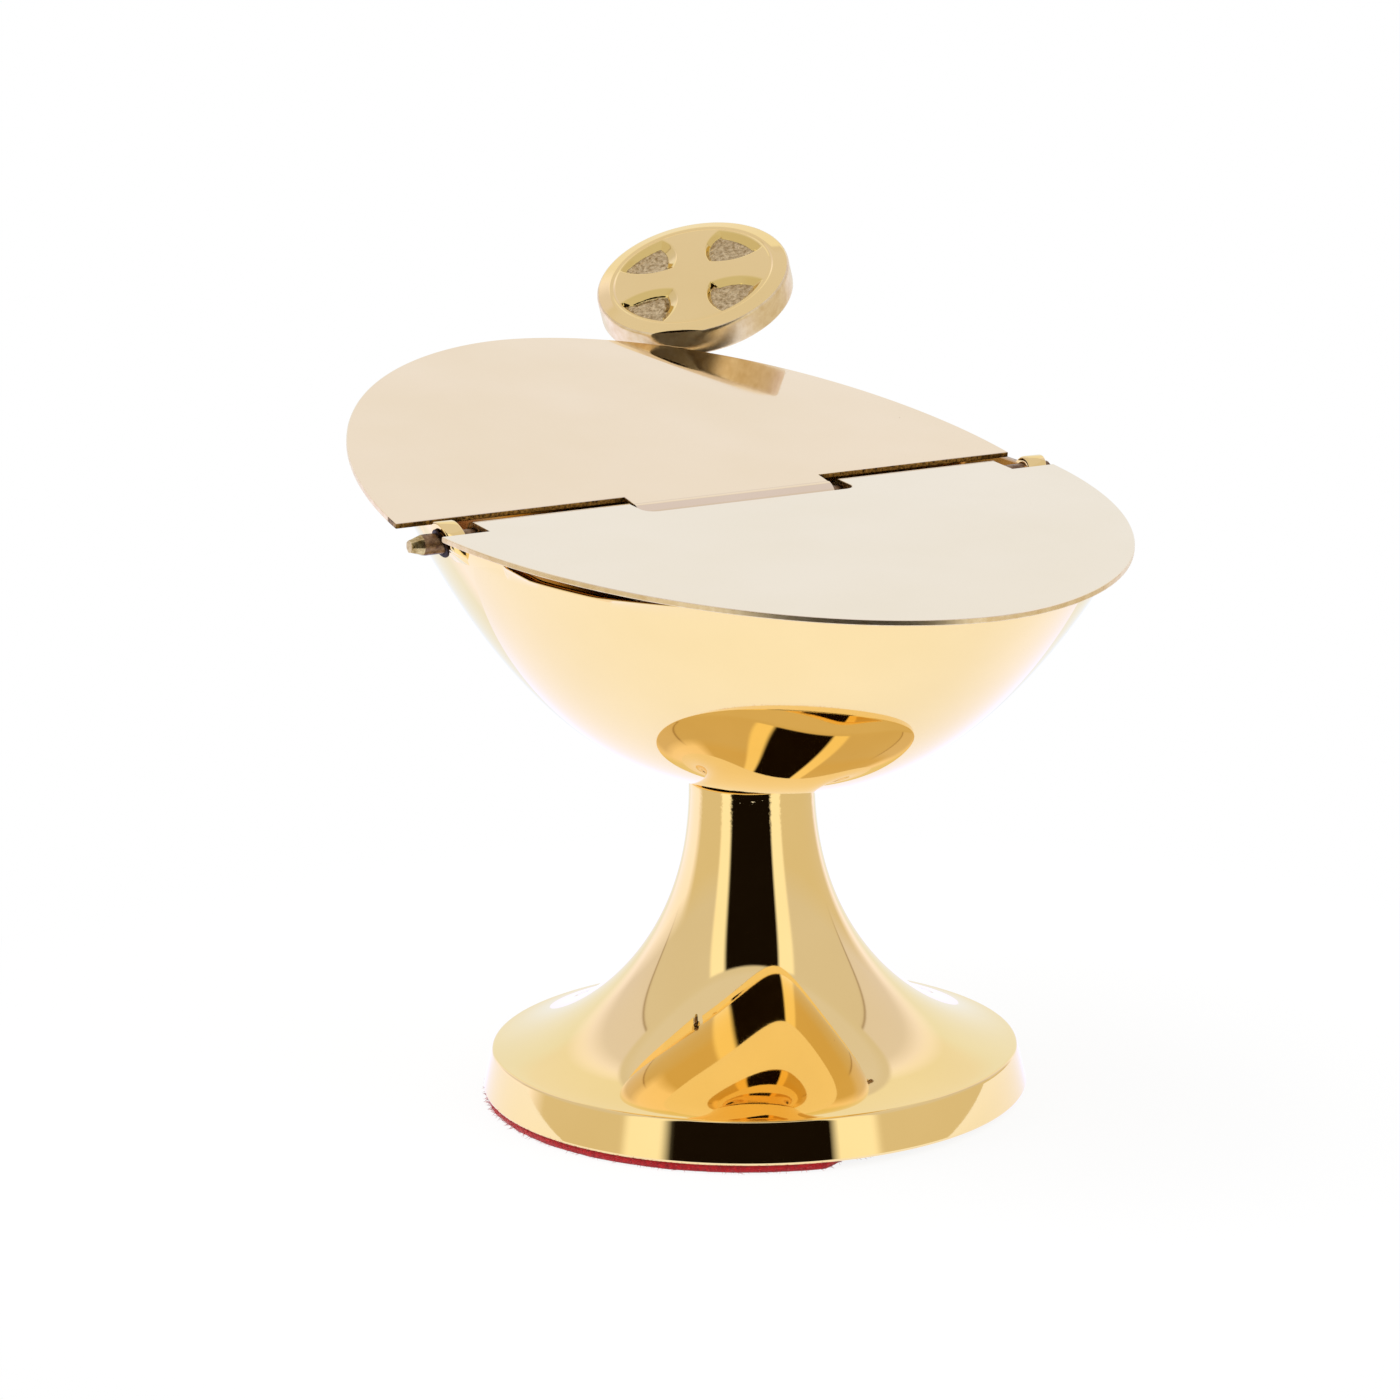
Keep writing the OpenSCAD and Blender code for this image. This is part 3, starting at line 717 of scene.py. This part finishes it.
def rolled(ends, sign):
    """A knuckle: the sheet rolled round the pin from its top back to its underside."""
    turn = np.radians(np.linspace(90, 90 + ROLL, ROLL_STEPS))
    outer = np.stack([sign * TOP_W * np.cos(turn), TOP_W * np.sin(turn)], 1)
    inner = np.stack([sign * LOW_W * np.cos(turn), LOW_W * np.sin(turn)], 1)[::-1]
    loop = np.concatenate([outer, inner])
    n = len(loop)
    rows = [np.column_stack([loop[:, 0], np.full(n, y), loop[:, 1]]) for y in ends]
    half = n // 2
    faces = [(j, (j + 1) % n, n + (j + 1) % n, n + j) for j in range(n)]
    for base, flip in ((0, False), (n, True)):
        for j in range(half - 1):
            quad = (base + j, base + n - 1 - j, base + n - 2 - j, base + j + 1)
            faces.append(quad[::-1] if flip else quad)
    return np.concatenate(rows), faces


def lid_finish(rise, centre):
    """The finish of a plate's face: polished on top, plain below, sawn at the hinge, else filed."""
    if rise > LEVEL:
        return POLISHED
    if rise < -LEVEL:
        return PLAIN
    return SAWN if abs(centre.x) < HINGE_SIDE else FILED


def lid(name, outline, knuckles, sign, slope):
    """A plate with a broken edge, and its knuckles, on the side of the pin that sign gives."""
    n = len(outline)
    flat = [np.column_stack([outline, np.full(n, z)]) for z in (LOW_W, TOP_W)]
    faces = [tuple(range(n))[::-1], tuple(range(n, 2 * n))]
    faces += [(j, (j + 1) % n, n + (j + 1) % n, n + j) for j in range(n)]
    plate = make_piece(name, to_slope(np.concatenate(flat), slope), faces)
    break_edges(plate, BROKEN_EDGE, 2)
    points = (np.array([v.co[:] for v in plate.data.vertices]) / MM).tolist()
    faces = [tuple(f.vertices) for f in plate.data.polygons]
    up = Vector((math.sin(slope), 0, math.cos(slope)))
    finish = [lid_finish(f.normal.dot(up), f.center / MM) for f in plate.data.polygons]
    bpy.data.objects.remove(plate)
    for ends in knuckles:
        more, quads = rolled(ends, sign)
        base = len(points)
        points += to_slope(more, slope).tolist()
        faces += [tuple(base + v for v in (f if sign > 0 else f[::-1])) for f in quads]
        # Outside of the roll, inside of the roll, then its seam and its two ends
        quarter = len(more) // 4
        finish += [POLISHED] * quarter + [PLAIN] * quarter
        finish += [SAWN] * (len(faces) - len(finish))
    piece = make_piece(name, points, faces, sharp=18)
    for metal in (finish_lid, finish_bowl, edge_brass, sawn_brass):
        piece.data.materials.append(metal)
    piece.data.polygons.foreach_set("material_index", finish)
    return piece


front_lid = lid("front_half_lid", front_outline, FRONT_KNUCKLES, 1, FRONT_SLOPE)
rear_lid = lid("rear_half_lid", rear_outline, REAR_KNUCKLES, -1, REAR_SLOPE)
print("lids:", tri_count(front_lid), "and", tri_count(rear_lid), "triangles")

# %% [markdown]
# ## The medallion
# The thumb-piece is a small casting: a raised border that is bevelled outwards, a cross whose
# arms widen to their ends, a thin line between the arms and the border, and four sunk fields that
# the polishing never reached. Its face is a fine round grid whose height follows those shapes,
# with walls that are steep but soft, as in worn castings. The grid then runs over the rounded
# edge to the back.

# %% Cast the medallion
MEDAL_R, MEDAL_T, MEDAL_ROUND, BORDER_W = 13.45, 4.2, 0.35, 2.2
MEDAL_TURN, MEDAL_LEAN, MEDAL_ROLL = 26.6, 16.0, 15.8
MEDAL_Y, MEDAL_UP, RIM_CLEAR = 25.2, 6.7, 0.6
CROSS_WAIST, CROSS_END, CROSS_AT, FIELD_DEPTH = 1.9, 4.3, 5.2, 0.70
LINE_W, LINE_DEPTH = 0.35, 0.12
SHORT_WALL, LONG_WALL, BEVEL_FALL, CROWN = 0.55, 1.45, 0.26, 0.10
CREASE_DEPTH, CREASE_AT, CREASE_W = 0.9, 1.16, 0.26
FACE_RINGS, FACE_COLS, CENTRE_R = 118, 400, 0.04
# Each side of a field is an arc that starts at the cross's waist and ends at its arm's corner
FIELD_R = MEDAL_R - BORDER_W
BOW_Y = ((math.sqrt(FIELD_R ** 2 - CROSS_END ** 2) - CROSS_AT) ** 2
         + CROSS_END ** 2 - CROSS_WAIST ** 2) / (2 * (CROSS_END - CROSS_WAIST))
BOW_R = BOW_Y - CROSS_WAIST
# It is turned, leaned and rolled against the lid
MEDAL_WAY = np.array(Matrix.Rotation(math.radians(180 - MEDAL_TURN), 3, "Z")
                     @ Matrix.Rotation(math.radians(-MEDAL_LEAN), 3, "Y")
                     @ Matrix.Rotation(math.radians(-MEDAL_ROLL), 3, "X"))
# The outer corner of the bevel is rounded from the bevel's slope to the upright side
BEVEL_ANGLE = math.atan(BEVEL_FALL)
CORNER = 1 - math.sin(BEVEL_ANGLE)


def smooth_step(x):
    x = np.clip(x, 0, 1)
    return x * x * (3 - 2 * x)


def into_field(u, v):
    """How far a point lies inside one of the four fields, in millimetres."""
    r = np.hypot(u, v)
    a, b = np.abs(u), np.abs(v)
    return np.minimum.reduce([BOW_R - np.hypot(a - CROSS_AT, b - BOW_Y),
                              BOW_R - np.hypot(a - BOW_Y, b - CROSS_AT),
                              FIELD_R - LINE_W - r])


def medal_height(u, v):
    """Height of the face, and its mark: 0 on the raised parts and 1 on a field's floor."""
    r = np.hypot(u, v)
    inside = into_field(u, v)
    # The upper walls are wide and the lower ones short, as the pattern was drawn from the sand
    step = 0.05
    fall = np.stack([into_field(u + step, v) - into_field(u - step, v),
                     into_field(u, v + step) - into_field(u, v - step)]) / (2 * step)
    down = -MEDAL_WAY[2, :2]
    down = down / np.hypot(*down)
    facing = np.tensordot(down, fall, 1)
    width = SHORT_WALL + (LONG_WALL - SHORT_WALL) * smooth_step((facing + 0.5) / 0.9)
    run = np.clip(inside / width, 0, 1)
    field = np.where(run < 0.3, run * run / 0.6, run - 0.15) / 0.85
    # A ragged crease at the foot of the walls of the two lower fields
    lower = smooth_step((u * down[0] + v * down[1]) / 2.0)
    ragged = np.array([0.5 + 0.9 * noise.noise(Vector((x * 1.3, y * 1.3, 5.0)))
                       for x, y in zip(u, v)])
    crease = smooth_step(1 - np.abs(inside / width - CREASE_AT) / CREASE_W)
    crease = crease * smooth_step(facing * 2) * lower * np.clip(ragged, 0, 1)
    line = smooth_step(1 - np.abs(r - (FIELD_R - LINE_W / 2)) / (LINE_W * 0.9))
    bevel = np.clip((r - FIELD_R) / 0.5, 0, 1) ** 2 * 0.25 + np.maximum(r - FIELD_R - 0.5, 0)
    height = CROWN * (1 - (r / MEDAL_R) ** 2) - BEVEL_FALL * bevel - FIELD_DEPTH * field
    return height - LINE_DEPTH * line * (1 - field) - CREASE_DEPTH * crease, field


def place_medal(points):
    """Puts the medallion against the rear lid's edge: turned, leaned, rolled, then sloped."""
    out = np.asarray(points, float) @ MEDAL_WAY.T + [-LID_A, MEDAL_Y, TOP_W + MEDAL_UP]
    # At the lid's edge it is cut back to meet the sheet, and below the lid to pass the rim
    for a, b, y0, below in ((LID_A, LID_B, REAR_SLIDE, math.inf),
                            (BOWL_A + RIM_CLEAR, BOWL_B + RIM_CLEAR, 0, LOW_W)):
        x, y = out[:, 0] / a, (out[:, 1] - y0) / b
        reach = (np.abs(x) ** BOAT_N + np.abs(y) ** BOAT_N) ** (1 / BOAT_N)
        hit = (reach < 1) & (out[:, 2] < below)
        grow = np.where(hit, 1 / np.maximum(reach, 0.5), 1.0)
        out[:, 0] *= grow
        out[:, 1] = y0 + (out[:, 1] - y0) * grow
    return to_slope(out, REAR_SLOPE)


def medal_mesh():
    """Points, faces and marks: over the face, round its edge, down the side, over the back."""
    face_r, low = MEDAL_R - MEDAL_ROUND, MEDAL_ROUND - MEDAL_T
    rows, marks = [], []
    for r in np.linspace(CENTRE_R, face_r, FACE_RINGS):
        u, v = ring(r, 0, FACE_COLS).T[:2]
        height, field = medal_height(u, v)
        pits = np.array([noise.noise(Vector((x * 1.7, y * 1.7, 3.0))) * 0.10
                         + noise.noise(Vector((x * 4.1, y * 4.1, 9.0))) * 0.06
                         for x, y in zip(u, v)])
        rows.append(ring(r, height + pits * (field > 0.97), FACE_COLS))
        marks.append(field)
    lip = float(medal_height(np.array([face_r]), np.array([0.0]))[0][0])
    turn = np.linspace(BEVEL_ANGLE, math.pi / 2, 8)[1:]
    outwards = face_r + MEDAL_ROUND * (np.sin(turn) - math.sin(BEVEL_ANGLE)) / CORNER
    down = lip - MEDAL_ROUND * (math.cos(BEVEL_ANGLE) - np.cos(turn)) / CORNER
    turn = np.linspace(0, math.pi / 2, 8)
    profile = [*zip(outwards, down)]
    profile += [(MEDAL_R, z) for z in np.linspace(down[-1], low, 8)[1:-1]]
    profile += [*zip(face_r + MEDAL_ROUND * np.cos(turn), low - MEDAL_ROUND * np.sin(turn))]
    profile += [(r, -MEDAL_T) for r in (9.0, 5.0, CENTRE_R)]
    rows += [ring(r, z, FACE_COLS) for r, z in profile]
    marks += [np.zeros(FACE_COLS)] * (len(rows) - len(marks))
    faces = [f[::-1] for f in grid_faces(len(rows), FACE_COLS)]
    # One point in the middle closes the face, and another one the back
    top, last = len(rows) * FACE_COLS, (len(rows) - 1) * FACE_COLS
    pairs = [(j, (j + 1) % FACE_COLS) for j in range(FACE_COLS)]
    faces += [(top, j, k) for j, k in pairs] + [(top + 1, last + k, last + j) for j, k in pairs]
    points = np.concatenate(rows + [[[0, 0, rows[0][0][2]]], [[0, 0, -MEDAL_T]]])
    return place_medal(points), faces, np.concatenate(marks + [np.zeros(2)])


# %% Colour the casting
PIT_MM, PIT_DEPTH, FIELD_ROUGH = 0.55, 0.25, 0.42
FIELD_DARK, FIELD_LIGHT, WALL_TINT = "#A88B58", "#EAD39F", (0.86, 0.85, 0.66, 1.0)


def cast_brass(name):
    """Polished on the raised parts, and as cast, dull and pitted, where the field mark is high."""
    mat = polished_brass(name, wave_mm=7, wave=0.02, pore_mm=6, rough=0.06)
    tree = mat.node_tree
    shader = tree.nodes["Principled BSDF"]
    colour, rough, skin = (shader.inputs[key].links[0].from_socket
                           for key in ("Base Color", "Roughness", "Normal"))
    place = add(tree, "ShaderNodeTexCoord").outputs["Object"]
    mark = add(tree, "ShaderNodeAttribute", attribute_name="field").outputs["Fac"]
    deep = climb(tree, mark, 0.95, 1.0)
    pits = grain(tree, place, PIT_MM, 4.0, 0.7)
    dirty = ramp(tree, pits, [(0.36, linear(FIELD_DARK)), (0.62, linear(FIELD_LIGHT))])
    # The walls down to a field are a little darker and yellower than the face
    wall = ramp(tree, mark, [(0.0, grey(0.0)), (0.12, grey(1.0)), (0.95, grey(1.0))])
    darker = blend(tree, 1.0, colour, WALL_TINT, "MULTIPLY")
    colour = blend(tree, deep, blend(tree, wall, colour, darker), dirty)
    rough = add(tree, "ShaderNodeMix", {"Factor": deep, 2: rough, 3: FIELD_ROUGH}).outputs[0]
    skin = bumped(tree, maths(tree, "MULTIPLY", pits, deep), PIT_DEPTH, under=skin)
    feed(tree, shader, {"Base Color": colour, "Roughness": rough, "Normal": skin})
    return mat


points, faces, marks = medal_mesh()
medal = make_piece("cross_medallion", points, faces, sharp=50)
field_mark = medal.data.attributes.new("field", "FLOAT", "POINT")
field_mark.data.foreach_set("value", marks.astype(np.float32))
medal.data.materials.append(cast_brass("cast brass medallion"))
medal.data.materials.append(edge_brass)
# Everything behind the face's last ring is filed
for face in medal.data.polygons:
    face.material_index = 1 if FACE_RINGS * FACE_COLS <= min(face.vertices) else 0
print("medallion:", tri_count(medal), "triangles")

# %% [markdown]
# ## Finish the parts that stay as they are
# The washer, the nut and the stud inside the foot keep their meshes and get machined brass.

# %% Dress the frame's own parts
for node in ("foot_washer", "foot_nut", "stem_stud"):
    mesh = frame["nodes"][node].data
    mesh.materials.clear()
    mesh.materials.append(plain_brass)

# %% [markdown]
# ## Tie each piece to its body
# Each row names a piece, the body of the frame that it rides on, so that it moves with it, the
# part of the frame that it replaces, which is hidden, and a slot of the record.

# %% Tie the pieces to the frame
for piece, body, node, slot in (
        (foot, "base", "foot", "polished_brass"), (felt, "base", "felt_pad", "felt"),
        (fuzz, "base", None, "felt"), (bowl, "base", "bowl", "polished_brass"),
        (ears[0], "base", None, "polished_brass"), (ears[1], "base", None, "polished_brass"),
        (pin, "base", "hinge_pin", "tarnished_brass"),
        (washer, "base", "pin_washer", "tarnished_brass"),
        (front_lid, "front", "front_lid", "polished_brass"),
        (rear_lid, "rear", "rear_lid", "polished_brass"),
        (medal, "rear", "medallion", "polished_brass")):
    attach(piece, body)
    if node:
        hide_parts(node)

# %% [markdown]
# ## The studio
# A mirror shows the room, so the room matters more than the lamps. The object stands in a white
# tent. A bright, cool sheet hangs behind it. Panels stand to its left and right, tan low down and
# paler higher up, where thin dark seams and cream strips part them from the sheet. The gap through
# which the object is seen shows as a dark stripe between two bright edges, and the roof is cooler
# in its middle. Only rays that bounce off metal see this room. The viewer sees a white backdrop,
# and the felt and the table are lit by plain white.

# %% Build the room
GAP_TURN, PEAK = math.radians(29.65), 1.7
PANEL_CHANGE, SHEET_CHANGE = (0.10, 0.30), (0.39, 0.47)
SHEET_EDGE = (math.radians(146), math.radians(154))
SOFT_WHITE, BACKDROP = 0.75, 1.0


def light(red, green, blue):
    """A colour brighter than white, as a share of the brightest one."""
    return (red / PEAK, green / PEAK, blue / PEAK, 1.0)


def room():
    """The tent: what is seen in each direction, which is given by its turn and its height."""
    world = bpy.data.worlds.new("white tent")
    bpy.context.scene.world = world
    world.use_nodes = True
    tree = world.node_tree
    tree.nodes.clear()
    way = add(tree, "ShaderNodeTexCoord").outputs["Generated"]
    turned = add(tree, "ShaderNodeMapping", {"Vector": way, "Rotation": (0, 0, GAP_TURN)})
    part = add(tree, "ShaderNodeSeparateXYZ", {"Vector": turned.outputs[0]}).outputs
    angle = maths(tree, "ARCTAN2", part["Y"], part["X"])
    spot = climb(tree, angle, -math.pi, math.pi)
    white, tan, dark = light(1.12, 1.12, 1.2), light(0.77, 0.71, 0.66), light(0.008, 0.005, 0.003)
    cream, seam = light(0.82, 0.82, 1.14), light(0.45, 0.38, 0.40)
    far, panel = light(1.12, 1.14, 1.65), light(0.76, 0.74, 0.85)
    # Round the tent in degrees: 0 is the middle of the gap in front, and 180 is behind
    front = [(-54, white), (-40, white), (-35, dark), (31, dark), (35, white), (50, white)]
    low = [(-150, far), (-112, far), (-100, tan), (-58, tan), *front, (54, tan), (135, tan),
           (146, far)]
    high = [(-150, far), (-140, cream), (-121, cream), (-119.5, seam), (-118, panel),
            (-58, panel), *front, (54, panel), (118, panel), (119.5, seam), (121, cream),
            (140, cream), (150, far)]
    low, high = (ramp(tree, spot, [((turn + 180) / 360, paint) for turn, paint in stops])
                 for stops in (low, high))
    colour = blend(tree, climb(tree, part["Z"], *PANEL_CHANGE), low, high)
    # The sheet behind the object is bright and cool, and less so higher up
    sheet = blend(tree, climb(tree, part["Z"], *SHEET_CHANGE), light(0.934, 1.0, 1.13),
                  light(0.944, 0.958, 1.04))
    behind = climb(tree, maths(tree, "ABSOLUTE", angle), *SHEET_EDGE)
    colour = blend(tree, behind, colour, sheet)
    # The roof, and its cooler middle
    for bottom, top, paint in ((0.745, 0.76, light(0.765, 0.75, 0.86)),
                               (0.77, 0.80, light(0.79, 0.79, 0.98))):
        colour = blend(tree, climb(tree, part["Z"], bottom, top), colour, paint)
    rays = add(tree, "ShaderNodeLightPath").outputs
    seen, plain, shown = (
        add(tree, "ShaderNodeBackground", {"Color": paint, "Strength": strength}).outputs[0]
        for paint, strength in ((colour, PEAK), (grey(1.0), SOFT_WHITE), (grey(1.0), BACKDROP)))
    lit = add(tree, "ShaderNodeMixShader", {0: rays["Is Glossy Ray"], 1: plain, 2: seen})
    final = add(tree, "ShaderNodeMixShader",
                {0: rays["Is Camera Ray"], 1: lit.outputs[0], 2: shown})
    add(tree, "ShaderNodeOutputWorld", {"Surface": final.outputs[0]})


room()
print("room:", len(bpy.context.scene.world.node_tree.nodes), "nodes")

# %% [markdown]
# ## The table
# A matt white table. Most of its white is its own, so that it stays white to the viewer and in
# the brass, and the rest is lit, so that it keeps a soft shadow under the object.

# %% Lay the table
TABLE_R, TABLE_DROP, TABLE_SIDES = 140.0, 0.02, 128
OWN_FROM, OWN_FULL, OWN_WHITE = 50, 130, 0.88
TABLE_GLOW, TABLE_SEEN, TABLE_MIRRORED = 1.6, grey(0.625), (0.66, 0.70, 1.0, 1.0)


def table_top():
    """A round white table whose own white grows towards its edge, where it meets the backdrop."""
    outline = ring(TABLE_R, -TABLE_DROP, TABLE_SIDES)
    piece = make_piece("table_top", outline, [tuple(range(TABLE_SIDES))])
    mat, tree, shader, place = start_material("matt white table")
    tree.nodes.remove(shader)
    reach = add(tree, "ShaderNodeVectorMath", {0: place}, operation="LENGTH").outputs["Value"]
    own = climb(tree, reach, OWN_FROM * MM, OWN_FULL * MM, OWN_WHITE, 1.0)
    matt = add(tree, "ShaderNodeBsdfDiffuse", {"Color": grey(0.9)}).outputs[0]
    rays = add(tree, "ShaderNodeLightPath").outputs
    # In the metal the lit table is a little over white, and cool
    tone = blend(tree, rays["Is Glossy Ray"], TABLE_SEEN, TABLE_MIRRORED)
    glow = add(tree, "ShaderNodeEmission", {"Color": tone, "Strength": TABLE_GLOW}).outputs[0]
    seen = maths(tree, "MAXIMUM", rays["Is Camera Ray"], rays["Is Glossy Ray"])
    share = maths(tree, "MULTIPLY", seen, own)
    mixed = add(tree, "ShaderNodeMixShader", {0: share, 1: matt, 2: glow})
    feed(tree, tree.nodes["Material Output"], {"Surface": mixed.outputs[0]})
    piece.data.materials.append(mat)
    return piece


table_top()

# %% Hang the lamps
# Two soft boxes light the felt and the table. The brass doesn't mirror them.
LIT_SPOT = Vector((0, 0, 0.04))
for name, spot, size, power in (("soft box", Vector((-0.35, -0.55, 1.1)), 0.9, 9.0),
                                ("fill box", Vector((0.7, 0.5, 0.9)), 0.8, 5.0)):
    lamp_data = bpy.data.lights.new(name, "AREA")
    lamp_data.size, lamp_data.energy = size, power
    lamp = bpy.data.objects.new(name, lamp_data)
    lamp.location = spot
    lamp.rotation_euler = (LIT_SPOT - spot).to_track_quat("-Z", "Y").to_euler()
    lamp.visible_glossy = False
    bpy.context.scene.collection.objects.link(lamp)
    print(name, "of", power, "W")

# %% [markdown]
# ## The camera
# A long lens looks down a little from the left front, so that both lids show as flat ovals. It
# aims at a point in the bowl, a little left of the middle, and rolls very slightly.

# %% Place the camera
CAMERA_TURN, CAMERA_UP, CAMERA_ROLL = (math.radians(v) for v in (-29.05, 13.267, -0.735))
CAMERA_AIM, CAMERA_AWAY, LENS = Vector((0, -7.39, 52.44)) * MM, 627.55 * MM, 127.75
camera_data = bpy.data.cameras.new("long lens")
camera_data.sensor_width, camera_data.lens, camera_data.clip_end = 36.0, LENS, 20
camera = bpy.data.objects.new("camera", camera_data)
camera.matrix_world = (
    Matrix.Translation(CAMERA_AIM) @ Matrix.Rotation(math.pi / 2 + CAMERA_TURN, 4, "Z")
    @ Matrix.Rotation(math.pi / 2 - CAMERA_UP, 4, "X") @ Matrix.Rotation(CAMERA_ROLL, 4, "Z")
    @ Matrix.Translation((0, 0, CAMERA_AWAY)))
bpy.context.scene.collection.objects.link(camera)
bpy.context.scene.camera = camera
bpy.context.scene.view_settings.view_transform = "Standard"
print("camera at", [round(v, 3) for v in camera.matrix_world.translation], "m")
